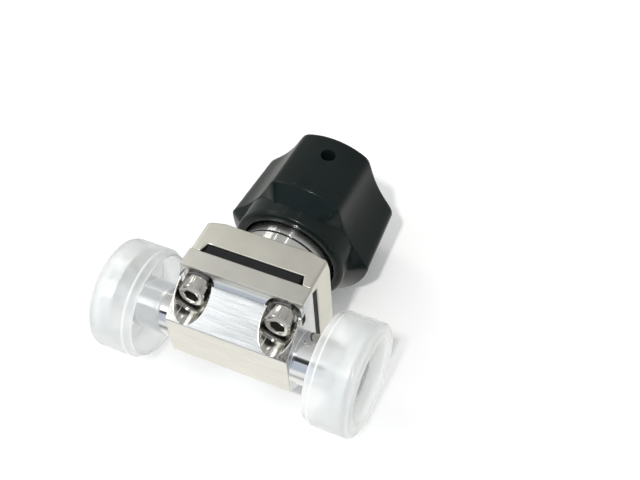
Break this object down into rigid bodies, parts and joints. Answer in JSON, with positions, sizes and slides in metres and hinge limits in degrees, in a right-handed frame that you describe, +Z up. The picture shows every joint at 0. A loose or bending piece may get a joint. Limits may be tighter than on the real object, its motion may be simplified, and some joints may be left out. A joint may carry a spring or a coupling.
{
  "type": "diaphragm valve",
  "caption": "Sanitary weir diaphragm valve with clamp ferrule ends, square bonnet on corner legs, polished neck, black lobed handle that rises on its thread, and push-on end caps.",
  "frame": {"origin": "where the pipe axis crosses the spindle axis", "axes": "+X along the pipe, +Z up the spindle towards the handle, -Y towards the front face of body and bonnet"},
  "size_m": [0.0684, 0.0373, 0.0674],
  "materials": {
    "machined_steel": "machined and brushed along the pipe",
    "satin_steel": "satin, slightly warm",
    "polished_steel": "turned and polished",
    "bronze": "turned",
    "black_rubber": "matt",
    "black_plastic": "satin moulded",
    "natural_plastic": "natural translucent, smooth"
  },
  "bodies": {
    "valve": {"valve_body": "machined_steel", "left_ferrule": "machined_steel", "right_ferrule": "machined_steel", "diaphragm": "black_rubber", "bonnet": "satin_steel", "neck_sleeve": "polished_steel", "neck_o_ring": "black_rubber", "bonnet_screws": "polished_steel", "lock_washers": "satin_steel", "spindle_nut": "bronze", "nut_snap_ring": "satin_steel", "spindle_o_ring": "black_rubber"},
    "stem": {"compressor": "satin_steel", "compressor_pins": "polished_steel", "thrust_washer": "bronze", "diaphragm_stud": "polished_steel"},
    "handle": {"spindle": "polished_steel", "stop_collar": "bronze", "stop_collar_screw": "satin_steel", "handle_knob": "black_plastic", "handle_insert": "satin_steel", "handle_set_screw": "satin_steel", "spindle_washer": "satin_steel", "spindle_top_nut": "satin_steel", "handle_top_cap": "black_plastic"},
    "left_cap": {"left_end_cap": "natural_plastic"},
    "right_cap": {"right_end_cap": "natural_plastic"}
  },
  "joints": [
    {"name": "stem_lift", "type": "slide", "parent": "valve", "child": "stem", "axis": [0, 0, 1], "range_m": [-0.004, 0], "deforming": ["diaphragm"]},
    {"name": "handle_turn", "type": "hinge", "parent": "stem", "child": "handle", "pos_m": [0, 0, 0.04], "axis": [0, 0, 1], "range_deg": [-720, 0]},
    {"name": "left_cap_pull", "type": "slide", "parent": "valve", "child": "left_cap", "axis": [-1, 0, 0], "range_m": [0, 0.045]},
    {"name": "right_cap_pull", "type": "slide", "parent": "valve", "child": "right_cap", "axis": [1, 0, 0], "range_m": [0, 0.045]}
  ],
  "couplings": [
    {"joint": "stem_lift", "follows": "handle_turn", "m_per_rad": 0.00031831}
  ]
}
